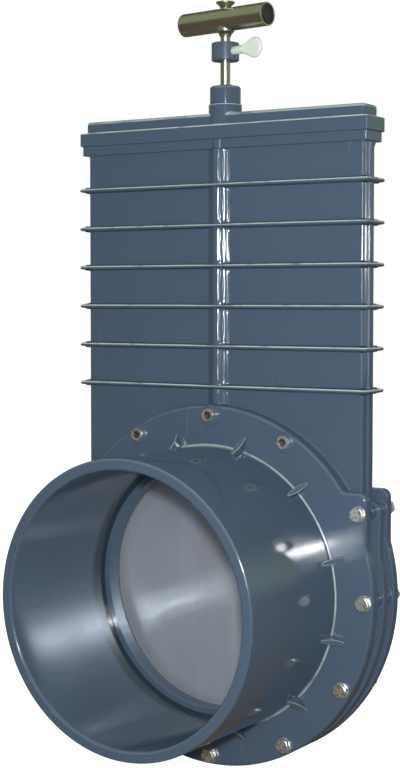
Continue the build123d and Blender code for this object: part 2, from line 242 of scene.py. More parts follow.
def node(tree, kind, settings=None, **inputs):
    """Add a node; each input is a value, or a socket to link from.

    An underscore in an input's name stands for a space, and one with a number for the input's place.
    """
    made = tree.nodes.new(kind)
    for key, value in (settings or {}).items():
        setattr(made, key, value)
    for key, value in inputs.items():
        socket = made.inputs[int(key[1:])] if key[0] == "_" else made.inputs[key.replace("_", " ")]
        if isinstance(value, bpy.types.NodeSocket):
            tree.links.new(value, socket)
        else:
            socket.default_value = value
    return made


def maths(tree, operation, a, b=0.0):
    """Output of a Math node."""
    return node(tree, "ShaderNodeMath", {"operation": operation}, _0=a, _1=b).outputs[0]


def times(tree, a, b):
    """Product of two values."""
    return maths(tree, "MULTIPLY", a, b)


def plus(tree, a, b):
    """Sum of two values."""
    return maths(tree, "ADD", a, b)


def from_axis(tree, a, b):
    """Distance of a point from an axis, by its two places across it."""
    return maths(tree, "SQRT", plus(tree, times(tree, a, a), times(tree, b, b)))


def spread(tree, value, low, high, to_low, to_high):
    """Value taken from one range to another, and kept inside it."""
    return node(tree, "ShaderNodeMapRange", Value=value, From_Min=low, From_Max=high,
                To_Min=to_low, To_Max=to_high).outputs["Result"]


def noise(tree, place, scale, detail=2.0, roughness=0.5, stretch=(1, 1, 1)):
    """Noise on object coordinates, stretched along the axes."""
    if tuple(stretch) != (1, 1, 1):
        place = node(tree, "ShaderNodeMapping", Vector=place, Scale=stretch).outputs["Vector"]
    return node(tree, "ShaderNodeTexNoise", Vector=place, Scale=scale, Detail=detail,
                Roughness=roughness).outputs["Fac"]


def blend_colours(tree, share, first, second):
    """Mix of two colours by a share."""
    made = node(tree, "ShaderNodeMix", {"data_type": "RGBA"})
    inputs = made.inputs
    for socket, value in ((inputs["Factor"], share), (inputs[6], first), (inputs[7], second)):
        if isinstance(value, bpy.types.NodeSocket):
            tree.links.new(value, socket)
        else:
            socket.default_value = value
    return made.outputs[2]


def shade(colour, factor):
    """A colour made darker or lighter, with alpha."""
    return tuple(min(1.0, c * factor) for c in colour[:3]) + (1.0,)


def start_finish(name):
    """Material with its node tree, main shader and object coordinates."""
    material = bpy.data.materials.new(name)
    material.use_nodes = True
    tree = material.node_tree
    place = node(tree, "ShaderNodeTexCoord").outputs["Object"]
    return material, tree, tree.nodes["Principled BSDF"], place


def pvc_finish(name, colour, roughness=(0.10, 0.15), paint_socket_shade=False):
    """Glossy moulded PVC: faint mottling, fine scuffs, a lighter tone on marked faces that is partly
    rubbing and partly a painted highlight, painted shade in the socket corners where asked, orange peel and
    slow waves.
    """
    material, tree, shader, place = start_finish(name)
    link = tree.links.new
    mottle = noise(tree, place, 7.0, 4.0, 0.6)
    flow = noise(tree, place, 26.0, 3.0, 0.55, (1, 1, 0.25))
    tone = blend_colours(tree, mottle, shade(colour, 0.90), shade(colour, 1.10))
    scuff = spread(tree, noise(tree, place, 55.0, 5.0, 0.65, (1, 1, 0.12)), 0.66, 0.74, 0.0, 0.10)
    tone = blend_colours(tree, scuff, tone, scuff_tone)
    # Lighter marked faces: partly rubbing, partly a painted highlight, mostly on their upper side.
    wear_and_highlight = node(tree, "ShaderNodeAttribute", {"attribute_name": "wear_and_highlight"}).outputs["Fac"]
    patches = spread(tree, noise(tree, place, 38.0, 4.0, 0.6), 0.30, 0.50, 0.35, 1.0)
    wear_and_highlight = times(tree, wear_and_highlight, patches)
    # Painted shade: the bore is darkened in its corner by the pipe's stop.
    if paint_socket_shade:
        tone = blend_colours(tree, painted_socket_shade(tree, place), tone, shade(colour, 0.38))
    link(blend_colours(tree, wear_and_highlight, tone, wear_and_highlight_tone), shader.inputs["Base Color"])
    smooth = spread(tree, flow, 0.3, 0.7, *roughness)
    link(plus(tree, smooth, times(tree, wear_and_highlight, 0.25)), shader.inputs["Roughness"])
    peel = node(tree, "ShaderNodeBump", Strength=0.05, Distance=0.0004,
                Height=noise(tree, place, 420.0, 2.0))
    waves = node(tree, "ShaderNodeBump", Strength=0.25, Distance=0.0016,
                 Height=noise(tree, place, 11.0, 1.0), Normal=peel.outputs["Normal"])
    link(waves.outputs["Normal"], shader.inputs["Normal"])
    shader.inputs["IOR"].default_value = 1.5
    return material


def painted_socket_shade(tree, place):
    """Painted shade in the corner of each socket, against the pipe's stop."""
    axes = node(tree, "ShaderNodeSeparateXYZ", Vector=place).outputs
    reach = maths(tree, "ABSOLUTE", maths(tree, "SUBTRACT", axes["Y"], middle_y))
    reach = plus(tree, reach, times(tree, noise(tree, place, 22.0, 4.0), 0.006))
    radius = from_axis(tree, axes["X"], axes["Z"])
    inside = spread(tree, radius, socket_shade_radius, socket_shade_radius + 0.001, 1.0, 0.0)
    deep = flange_half + socket_shade_reach
    deep = spread(tree, reach, deep, deep + socket_shade_fade, 1.0, 0.0)
    return times(tree, inside, deep)


def steel_finish(name, colour, roughness, streaks, bareness=1.0):
    """Bright steel: drawn streaks, uneven polish and fine scratches; less bare where it has dulled."""
    material, tree, shader, place = start_finish(name)
    link = tree.links.new
    drawn = noise(tree, place, 60.0, 4.0, 0.6, streaks)
    link(blend_colours(tree, drawn, shade(colour, 0.86), shade(colour, 1.12)), shader.inputs["Base Color"])
    link(spread(tree, drawn, 0.25, 0.75, *roughness), shader.inputs["Roughness"])
    scratch = node(tree, "ShaderNodeBump", Strength=0.08, Distance=0.0002,
                   Height=noise(tree, place, 260.0, 3.0, 0.6, streaks))
    link(scratch.outputs["Normal"], shader.inputs["Normal"])
    shader.inputs["Metallic"].default_value = bareness
    return material


def cast_finish(name, colour):
    """Forged bolt steel: mottled, dull and pitted on its faces, with painted shade inside the screws'
    hexagon sockets.
    """
    material, tree, shader, place = start_finish(name)
    link = tree.links.new
    mottle = noise(tree, place, 330.0, 4.0, 0.62)
    patches = spread(tree, mottle, 0.36, 0.60, 0.0, 1.0)
    tone = blend_colours(tree, patches, shade(colour, 0.42), shade(colour, 1.15))
    # Painted shade inside the socket screws' hexagon keys.
    painted_key_shade = node(tree, "ShaderNodeAttribute", {"attribute_name": "painted_key_shade"}).outputs["Fac"]
    painted_key_shade = times(tree, painted_key_shade, spread(tree, mottle, 0.3, 0.7, 1.0, 0.8))
    link(blend_colours(tree, painted_key_shade, tone, painted_key_shade_tone), shader.inputs["Base Color"])
    link(spread(tree, mottle, 0.3, 0.7, 0.48, 0.30), shader.inputs["Roughness"])
    pits = node(tree, "ShaderNodeBump", Strength=0.5, Distance=0.0005, Height=mottle)
    link(pits.outputs["Normal"], shader.inputs["Normal"])
    shader.inputs["Metallic"].default_value = 0.9
    return material


def rubber_finish(name, colour):
    """Matt black rubber with a dusty bloom."""
    material, tree, shader, place = start_finish(name)
    link = tree.links.new
    bloom = noise(tree, place, 45.0, 4.0)
    dusty = spread(tree, bloom, 0.45, 0.75, 0.0, 1.0)
    link(blend_colours(tree, dusty, shade(colour, 1.0), bloom_tone), shader.inputs["Base Color"])
    link(spread(tree, bloom, 0.3, 0.7, 0.55, 0.75), shader.inputs["Roughness"])
    grain = node(tree, "ShaderNodeBump", Strength=0.2, Distance=0.0003, Height=noise(tree, place, 900.0))
    link(grain.outputs["Normal"], shader.inputs["Normal"])
    return material


def nylon_finish(name, colour):
    """Milky nylon that lets some light through."""
    material, tree, shader, place = start_finish(name)
    link = tree.links.new
    cloud = noise(tree, place, 90.0, 3.0)
    link(blend_colours(tree, cloud, shade(colour, 0.92), shade(colour, 1.06)), shader.inputs["Base Color"])
    link(spread(tree, cloud, 0.3, 0.7, 0.28, 0.42), shader.inputs["Roughness"])
    grain = node(tree, "ShaderNodeBump", Strength=0.15, Distance=0.0003, Height=noise(tree, place, 500.0))
    link(grain.outputs["Normal"], shader.inputs["Normal"])
    shader.inputs["Subsurface Weight"].default_value = 0.5
    shader.inputs["Subsurface Radius"].default_value = (0.006, 0.007, 0.006)
    shader.inputs["Subsurface Scale"].default_value = 1.0
    shader.inputs["Transmission Weight"].default_value = 0.15
    return material


# How each finish is made: by which function, from which colour, with which options
finish_kinds = {
    "pvc": (pvc_finish, "pvc", {}),
    # The sockets' finish paints shade in the corner of each bore.
    "pvc_socket": (pvc_finish, "pvc", {"roughness": (0.07, 0.11), "paint_socket_shade": True}),
    "pvc_casing": (pvc_finish, "pvc", {"roughness": (0.07, 0.11)}),
    "collar_pvc": (pvc_finish, "collar", {"roughness": (0.22, 0.34)}),
    "seal_rubber": (rubber_finish, "rubber", {}),
    "plug_plastic": (rubber_finish, "plug", {}),
    "gate_steel": (steel_finish, "gate",
                   {"roughness": (0.31, 0.41), "streaks": (1, 1, 0.05), "bareness": 0.65}),
    "rod_steel": (steel_finish, "bright_steel", {"roughness": (0.26, 0.36), "streaks": (1, 1, 6)}),
    "handle_steel": (steel_finish, "handle", {"roughness": (0.20, 0.32), "streaks": (0.08, 1, 1)}),
    "bolt_steel": (cast_finish, "bolts", {}),
    "nylon": (nylon_finish, "nylon", {}),
}


def finish(name):
    """A finish by its name, made on first use from the settings."""
    label = name + "_finish"
    made = bpy.data.materials.get(label)
    if made:
        return made
    make, colour, options = finish_kinds[name]
    return make(label, getattr(bpy.context.scene.valve_looks.finishes, colour), **options)


# Pieces

def add_piece(name, mesh, body, material, smooth=35.0):
    """Object at the origin that rides on a body and carries one finish."""
    mesh.materials.clear()
    mesh.materials.append(finish(material))
    mesh.shade_smooth()
    mesh.set_sharp_from_angle(angle=radians(smooth))
    piece = bpy.data.objects.new(name, mesh)
    bpy.context.scene.collection.objects.link(piece)
    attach(piece, body)
    return piece


def plain_mesh(piece, name):
    """Mesh of an object with its modifiers baked in."""
    graph = bpy.context.evaluated_depsgraph_get()
    graph.update()
    mesh = bpy.data.meshes.new_from_object(piece.evaluated_get(graph))
    mesh.name = name
    return mesh


def round_edges(shape, width, segments, angle, where=None):
    """Round every edge of a mesh that is sharper than an angle, or those of them that pass a test."""
    edges = [e for e in shape.edges if e.is_manifold and e.calc_face_angle(0) > radians(angle)
             and (where is None or where(e))]
    if not edges or width <= 0:
        return []
    return bmesh.ops.bevel(shape, geom=edges, offset=width, offset_type="OFFSET", segments=segments,
                           profile=0.5, affect="EDGES", clamp_overlap=False)["faces"]


def ramp(value, start, end):
    """Share of the way from a start to an end, from zero to one."""
    return min(1.0, max(0.0, (value - start) / (end - start)))


def paint_wear_and_highlight(shape, faces, share, all_round=False):
    """Mark faces lighter, partly as rubbing and partly as a painted highlight: all round, or on their upper
    side only, as if lit from above.
    """
    layer = shape.faces.layers.float["wear_and_highlight"]
    full_slope = 0.4
    for face in faces:
        up = 1.0 if all_round else ramp(face.normal.z, 0.0, full_slope)
        face[layer] = max(face[layer], share * up)


def on_bead(face):
    """Whether a face lies on the cement bead between a flange and its socket."""
    place = face.calc_center_median()
    reach = hypot(place.x, place.z) - socket_high.x
    margin = 1e-4
    return 0 <= reach < bead_size and abs(place.y - middle_y) > flange_half - margin


def on_rib_tip(edge):
    """Whether an edge runs along a rib's outer edge, and not across the joint of two pieces."""
    near, far = (v.co for v in edge.verts)
    if min(near.z, far.z) < flange_high.z or max(near.z, far.z) > cap_low.z:
        return False
    if near.xy == far.xy and abs(near.y - middle_y) < flange_half / 4:
        return False
    margin = 1e-5
    return all(abs(co.x) > cap_high.x - margin or co.y < cap_low.y + margin or co.y > cap_high.y - margin
               for co in (near, far))


def cut_planes(node_name):
    """Planes that split a piece's ring-shaped faces, as a point on the axis and normals."""
    low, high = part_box(node_name)
    middle = (low + high) / 2
    if "flange" in node_name:
        ear_turn = atan2(ear_bolt[1], ear_bolt[0])
        turns = [radians(30 * i) for i in range(6)] + [ear_turn, -ear_turn]
        return Vector((0, middle.y, 0)), [Vector((-sin(a), 0, cos(a))) for a in turns]
    if low.z < 0:
        middle.z = 0.0
    return middle, [Vector((1, 0, 0)), Vector((0, 1, 0)), Vector((0, 0, 1))]


def flat_faces(shape, node_name):
    """Join the triangles of each flat face, split where it would close on itself round a hole."""
    bmesh.ops.remove_doubles(shape, verts=shape.verts, dist=weld)
    centre, normals = cut_planes(node_name)
    for normal in normals:
        cut = bmesh.ops.bisect_plane(shape, geom=shape.verts[:] + shape.edges[:] + shape.faces[:],
                                     dist=weld, plane_co=centre, plane_no=normal)
        for part in cut["geom_cut"]:
            if isinstance(part, bmesh.types.BMEdge):
                part.seam = True
    bmesh.ops.dissolve_limit(shape, angle_limit=radians(0.4), verts=shape.verts, edges=shape.edges,
                             delimit={"SEAM"})


def on_round(face):
    """Whether a face slopes upwards, as on a rounded upper edge."""
    steepest, flattest = 0.15, 0.97
    return steepest < face.normal.z < flattest


def shrink_mark(x, z):
    """Height of the marks that run along the casing's spine and draw in between its ribs."""
    side = abs(x)
    beat = cos(2 * pi * (z - lowest_rib) / rib_pitch)
    across = 2 * pi * (side - mark_start) / mark_pitch
    split = split_between + (split_at_ribs - split_between) * ramp(beat, -1.0, 0.6)
    waves = mark_height * cos(across) + split * cos(2 * across)
    flank = ramp(side, flank_start, flank_full) * ramp(side, spine_half, spine_half - flank_fade)
    shoulder = (side - shoulder_place - shoulder_wander * beat) / shoulder_width
    return flank * waves + shoulder_height * exp(-shoulder * shoulder)


def on_spine(face):
    """Whether a face is one of the tall ones on the outside of the casing's spine."""
    place = face.calc_center_median()
    heights = [v.co.z for v in face.verts]
    outward = face.normal.y if place.y > middle_y else -face.normal.y
    reach = max(abs(v.co.x) for v in face.verts)
    return (outward > 0.5 and reach < spine_half and max(heights) - min(heights) > rib_pitch / 4
            and flange_high.z < place.z < cap_low.z)


def mark_spine(shape):
    """Cut the spine's faces into a fine grid, and raise or sink its points by the shrink marks."""
    faces = [face for face in shape.faces if on_spine(face)]
    across, along = Vector((1, 0, 0)), Vector((0, 0, 1))
    columns = int(spine_half / mark_grid)
    cuts = [(mark_grid * i, across) for i in range(-columns, columns + 1)]
    step = rib_pitch / mark_rows
    cuts += [(step * i, along) for i in range(int(flange_high.z / step), int(cap_low.z / step) + 1)]
    edges = dict.fromkeys(e for f in faces for e in f.edges)
    points = dict.fromkeys(v for f in faces for v in f.verts)
    part = [*faces, *edges, *points]
    for place, normal in cuts:
        part = bmesh.ops.bisect_plane(shape, geom=part, dist=weld, plane_co=normal * place,
                                      plane_no=normal)["geom"]
    faces = {p for p in part if isinstance(p, bmesh.types.BMFace)}
    points = [p for p in part if isinstance(p, bmesh.types.BMVert) and faces.issuperset(p.link_faces)]
    shape.normal_update()
    for point, move in [(p, p.normal * shrink_mark(p.co.x, p.co.z)) for p in points]:
        point.co += move
    shape.normal_update()


def soften(node_name, width, material=None, tips=None, tip_width=0.0, wear_and_highlight=0.0, all_round=False, highlight_test=None,
           relief=None):
    """Copy of a solid with rounded edges, fuller at its tips, which then stands for the solid.

    Its rounded edges are made lighter by a share, partly as rubbing and partly as a painted highlight,
    faces that pass the highlight test get a painted highlight, and relief adds marks to the mesh.
    """
    source = frame["nodes"][node_name]
    shape = bmesh.new()
    shape.from_mesh(source.data)
    flat_faces(shape, node_name)
    shape.faces.layers.float.new("wear_and_highlight")
    if tips:
        # Painted highlight along the upper side of the rib tips.
        paint_wear_and_highlight(shape, round_edges(shape, tip_width, tip_steps, sharp_edge, tips), 1.0)
    paint_wear_and_highlight(shape, round_edges(shape, width, edge_steps, sharp_edge), wear_and_highlight, all_round)
    # Painted highlight on the faces that pass the test.
    if highlight_test:
        paint_wear_and_highlight(shape, [face for face in shape.faces if highlight_test(face)], 0.6, all_round=True)
    if relief:
        relief(shape)
    mesh = bpy.data.meshes.new(node_name + "_look")
    shape.to_mesh(mesh)
    shape.free()
    slot = slot_of_node[node_name]
    piece = add_piece(node_name + "_look", mesh, body_of_node[node_name], material or slot)
    flat = piece.modifiers.new("flat_faces", "WEIGHTED_NORMAL")
    flat.keep_sharp = True
    flat.weight = 60
    old = piece.data
    piece.data = plain_mesh(piece, node_name + "_look")
    piece.modifiers.clear()
    bpy.data.meshes.remove(old)
    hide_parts(node_name)
    return piece


# Fasteners made by node trees

bolt_circle = 0.208
ear_bolt = (0.2005, 0.102)
corner_ratio = 1 / 3 ** 0.5     # a hexagon's corner radius, in widths across its flats
cone_ratio = 3 ** 0.5           # radius of the cone that turns a head's corners off, in its own heights
cone_height = 0.274             # that cone over the head's end, in widths across flats


def round_places(angles):
    """Places on the bolt circle, in X and Z, by their angles in degrees."""
    return [(bolt_circle * cos(radians(a)), bolt_circle * sin(radians(a))) for a in angles]


through_bolts = [ear_bolt, (-ear_bolt[0], ear_bolt[1])] + round_places((0, 180, 210, 240, 270, 300, 330))
short_screws = round_places((60, 90, 120))


def start_tree(name, inputs):
    """Geometry node tree with named length inputs; returns it, its inputs' sockets and identifiers."""
    tree = bpy.data.node_groups.new(name, "GeometryNodeTree")
    tree.interface.new_socket("Geometry", in_out="INPUT", socket_type="NodeSocketGeometry")
    identifiers = {}
    for label in inputs:
        socket = tree.interface.new_socket(label, in_out="INPUT", socket_type="NodeSocketFloat")
        socket.subtype = "DISTANCE"
        identifiers[label] = socket.identifier
    tree.interface.new_socket("Geometry", in_out="OUTPUT", socket_type="NodeSocketGeometry")
    source = tree.nodes.new("NodeGroupInput")
    return tree, {label: source.outputs[label] for label in inputs}, identifiers


def shift(tree, geometry, height):
    """Geometry moved along its own axis."""
    place = node(tree, "ShaderNodeCombineXYZ", Z=height).outputs[0]
    return node(tree, "GeometryNodeTransform", Geometry=geometry, Translation=place).outputs[0]


def disc(tree, sides, radius, depth):
    """Cylinder, or a hexagon with six sides."""
    return node(tree, "GeometryNodeMeshCylinder", {"fill_type": "NGON"}, Vertices=sides, Radius=radius,
                Depth=depth).outputs["Mesh"]


def hexagon(tree, flats, height):
    """Hexagon standing on its seat, with the corners of its far end turned off by a cone."""
    below_seat = 0.1
    prism = shift(tree, disc(tree, 6, times(tree, flats, corner_ratio), height), times(tree, height, 0.5))
    tall = plus(tree, times(tree, flats, cone_height), times(tree, height, 1 + below_seat))
    turned = node(tree, "GeometryNodeMeshCone", {"fill_type": "NGON"}, Vertices=72, Radius_Top=0.0,
                  Radius_Bottom=times(tree, tall, cone_ratio), Depth=tall).outputs["Mesh"]
    cut = node(tree, "GeometryNodeMeshBoolean", {"operation": "INTERSECT", "solver": "EXACT"})
    tree.links.new(prism, cut.inputs[1])
    tree.links.new(shift(tree, turned, times(tree, height, -below_seat)), cut.inputs[1])
    return cut.outputs[0]


def finish_tree(tree, shapes, turn_seed, material):
    """Join the shapes, set one on every point with its own turn, and make them plain."""
    joined = node(tree, "GeometryNodeJoinGeometry")
    for shape in shapes:
        tree.links.new(shape, joined.inputs[0])
    source = next(n for n in tree.nodes if n.bl_idname == "NodeGroupInput")
    points = node(tree, "GeometryNodeMeshToPoints", Mesh=source.outputs[0])
    turn = node(tree, "FunctionNodeRandomValue", {"data_type": "FLOAT"}, Seed=turn_seed)
    turn.inputs[2].default_value, turn.inputs[3].default_value = -pi, pi
    angles = node(tree, "ShaderNodeCombineXYZ", X=pi / 2, Y=turn.outputs[1])
    placed = node(tree, "GeometryNodeInstanceOnPoints", Points=points.outputs[0],
                  Instance=joined.outputs[0], Rotation=angles.outputs[0])
    real = node(tree, "GeometryNodeRealizeInstances", Geometry=placed.outputs[0])
    painted = node(tree, "GeometryNodeSetMaterial", Geometry=real.outputs[0], Material=finish(material))
    out = tree.nodes.new("NodeGroupOutput")
    tree.links.new(painted.outputs[0], out.inputs[0])


def spread_fasteners(name, tree, identifiers, values, places, material, edge):
    """Run a tree on a point at every place, and keep the result as one plain piece."""
    seeds = bpy.data.meshes.new(name + "_points")
    seeds.from_pydata([(x, middle_y, z) for x, z in places], [], [])
    piece = bpy.data.objects.new(name + "_points", seeds)
    bpy.context.scene.collection.objects.link(piece)
    modifier = piece.modifiers.new("fasteners", "NODES")
    modifier.node_group = tree
    for label, value in values.items():
        modifier[identifiers[label]] = value
    mesh = plain_mesh(piece, name)
    piece.modifiers.clear()
    bpy.data.objects.remove(piece)
    bpy.data.meshes.remove(seeds)
    if not mesh.polygons:
        raise RuntimeError(f"{name} came out empty")
    shape = bmesh.new()
    shape.from_mesh(mesh)
    bmesh.ops.remove_doubles(shape, verts=shape.verts, dist=weld)
    round_edges(shape, edge, 1, 24.0)
    shape.to_mesh(mesh)
    shape.free()
    return add_piece(name, mesh, "valve_body", material, 22.0)


# Operators

class SLIDEGATE_OT_mouldings(bpy.types.Operator):
    """Soften the PVC mouldings: sockets, flanges, gussets, casing, cap and gland"""

    bl_idname = "slidegate.mouldings"
    bl_label = "PVC mouldings"

    def execute(self, context):
        edge = context.scene.valve_looks.sizes.moulded_edge
        # The shares below lighten the rounded edges, partly as rubbing and partly as a painted highlight;
        # the tests add a painted highlight on cement beads and the cap's upper rounds.
        for name in ("front_socket", "rear_socket"):
            soften(name, edge, "pvc_socket", wear_and_highlight=0.1)
        for name in ("front_flange", "rear_flange"):
            soften(name, edge, wear_and_highlight=0.1, highlight_test=on_bead)
        soften("gland", edge, wear_and_highlight=0.3)
        soften("bonnet_cap", edge, wear_and_highlight=1.0, highlight_test=on_round)
        for name in ("front_gussets", "rear_gussets"):
            soften(name, edge * 0.6, wear_and_highlight=0.6, all_round=True)
        # The ribs' tips get a painted highlight on their upper side.
        rib_round = context.scene.valve_looks.sizes.rib_round
        soften("spacer_frame", edge * 0.6, tips=on_rib_tip, tip_width=rib_round)
        for name in ("front_casing_half", "rear_casing_half"):
            soften(name, edge * 0.8, "pvc_casing", tips=on_rib_tip, tip_width=rib_round, relief=mark_spine)
        return {"FINISHED"}


class SLIDEGATE_OT_seals(bpy.types.Operator):
    """Give the seat seals and the rod seal their rubber"""

    bl_idname = "slidegate.seals"
    bl_label = "Rubber seals"

    def execute(self, context):
        for name in ("front_seat_seal", "rear_seat_seal", "rod_seal"):
            soften(name, context.scene.valve_looks.sizes.steel_edge)
        return {"FINISHED"}


class SLIDEGATE_OT_gate(bpy.types.Operator):
    """Finish the gate, its coupling and the lift rod"""

    bl_idname = "slidegate.gate"
    bl_label = "Gate and rod"

    def execute(self, context):
        soften("gate_plate", 0.0)
        for name in ("gate_coupling", "lift_rod"):
            soften(name, context.scene.valve_looks.sizes.steel_edge)
        return {"FINISHED"}


class SLIDEGATE_OT_handle(bpy.types.Operator):
    """Finish the T-handle: tube, plugs, saddle and head"""

    bl_idname = "slidegate.handle"
    bl_label = "T-handle"

    def execute(self, context):
        edge = context.scene.valve_looks.sizes.steel_edge
        for name in ("handle_tube", "handle_plugs", "rod_head"):
            soften(name, edge)
        soften("handle_saddle", 0.0)
        return {"FINISHED"}


class SLIDEGATE_OT_stop(bpy.types.Operator):
    """Finish the stop collar and its thumb screw"""

    bl_idname = "slidegate.stop"
    bl_label = "Stop collar and thumb screw"

    def execute(self, context):
        sizes = context.scene.valve_looks.sizes
        soften("stop_collar", sizes.moulded_edge * 0.5)
        soften("thumb_screw", sizes.moulded_edge * 0.6)
        return {"FINISHED"}


class SLIDEGATE_OT_bolts(bpy.types.Operator):
    """Make the nine through bolts with their washers and nuts"""

    bl_idname = "slidegate.bolts"
    bl_label = "Through bolts"

    def execute(self, context):
        sizes = context.scene.valve_looks.sizes
        values = {"Bolt diameter": sizes.bolt_diameter, "Across flats": sizes.flats,
                  "Head height": sizes.head_height, "Nut height": sizes.nut_height,
                  "Bolt end": sizes.bolt_end, "Washer diameter": sizes.washer_diameter,
                  "Washer thickness": sizes.washer_thickness, "Half grip": flange_half}
        tree, size, identifiers = start_tree("through_bolt", values)
        washer = disc(tree, 40, times(tree, size["Washer diameter"], 0.5), size["Washer thickness"])
        near = plus(tree, size["Half grip"], times(tree, size["Washer thickness"], 0.5))
        shapes = [shift(tree, washer, near), shift(tree, washer, times(tree, near, -1.0))]
        seat = plus(tree, size["Half grip"], size["Washer thickness"])
        for height, turn in ((size["Head height"], 0.0), (size["Nut height"], pi)):
            head = shift(tree, hexagon(tree, size["Across flats"], height), seat)
            turned = node(tree, "GeometryNodeTransform", Geometry=head, Rotation=(turn, 0, 0))
            shapes.append(turned.outputs[0])
        tail = plus(tree, plus(tree, seat, size["Nut height"]), size["Bolt end"])
        shank = disc(tree, 32, times(tree, size["Bolt diameter"], 0.5), plus(tree, seat, tail))
        shapes.append(shift(tree, shank, times(tree, maths(tree, "SUBTRACT", seat, tail), 0.5)))
        finish_tree(tree, shapes, 4, "bolt_steel")
        spread_fasteners("through_bolts", tree, identifiers, values, through_bolts,
                         "bolt_steel", 0.0)
        return {"FINISHED"}


class SLIDEGATE_OT_socket_screws(bpy.types.Operator):
    """Make the short socket screws over the casing, on their raised seats"""

    bl_idname = "slidegate.socket_screws"
    bl_label = "Socket screws"

    def execute(self, context):
        sizes = context.scene.valve_looks.sizes
        values = {"Head diameter": sizes.screw_diameter, "Head height": sizes.screw_height,
                  "Key flats": sizes.key_flats, "Seat height": sizes.seat_height, "Half grip": flange_half}
        tree, size, identifiers = start_tree("socket_screw", values)
        seat = plus(tree, size["Half grip"], size["Seat height"])
        centre = plus(tree, seat, times(tree, size["Head height"], 0.5))
        near = shift(tree, self.head_with_key_shade(tree, size), centre)
        far = node(tree, "GeometryNodeTransform", Geometry=near, Rotation=(pi, 0, 0)).outputs[0]
        finish_tree(tree, [near, far], 9, "bolt_steel")
        spread_fasteners("socket_screws", tree, identifiers, values, short_screws,
                         "bolt_steel", sizes.steel_edge)

        values = {"Seat diameter": sizes.seat_diameter, "Seat height": sizes.seat_height,
                  "Half grip": flange_half}
        tree, size, identifiers = start_tree("screw_seat", values)
        pad = disc(tree, 64, times(tree, size["Seat diameter"], 0.5), times(tree, size["Seat height"], 2.0))
        finish_tree(tree, [shift(tree, pad, size["Half grip"]),
                           shift(tree, pad, times(tree, size["Half grip"], -1.0))], 2, "pvc")
        spread_fasteners("screw_seats", tree, identifiers, values, short_screws,
                         "pvc", sizes.seat_height * 0.7)
        return {"FINISHED"}

    def head_with_key_shade(self, tree, size):
        """Round head with a hexagon socket, whose faces inside are marked for painted shade."""
        key_lift, key_reach, rim = 0.35, 0.56, 0.4
        head = disc(tree, 48, times(tree, size["Head diameter"], 0.5), size["Head height"])
        key = disc(tree, 6, times(tree, size["Key flats"], corner_ratio), size["Head height"])
        cup = node(tree, "GeometryNodeMeshBoolean", {"operation": "DIFFERENCE", "solver": "EXACT"})
        tree.links.new(head, cup.inputs[0])
        tree.links.new(shift(tree, key, times(tree, size["Head height"], key_lift)), cup.inputs[1])
        # Mark the faces inside the hexagon socket for painted shade.
        place = node(tree, "GeometryNodeInputPosition").outputs[0]
        axes = node(tree, "ShaderNodeSeparateXYZ", Vector=place).outputs
        reach = times(tree, size["Key flats"], key_reach)
        inside = maths(tree, "LESS_THAN", from_axis(tree, axes["X"], axes["Y"]), reach)
        below = maths(tree, "LESS_THAN", axes["Z"], times(tree, size["Head height"], rim))
        return node(tree, "GeometryNodeStoreNamedAttribute", {"data_type": "FLOAT", "domain": "FACE"},
                    Geometry=cup.outputs[0], Name="painted_key_shade", Value=times(tree, inside, below)).outputs[0]


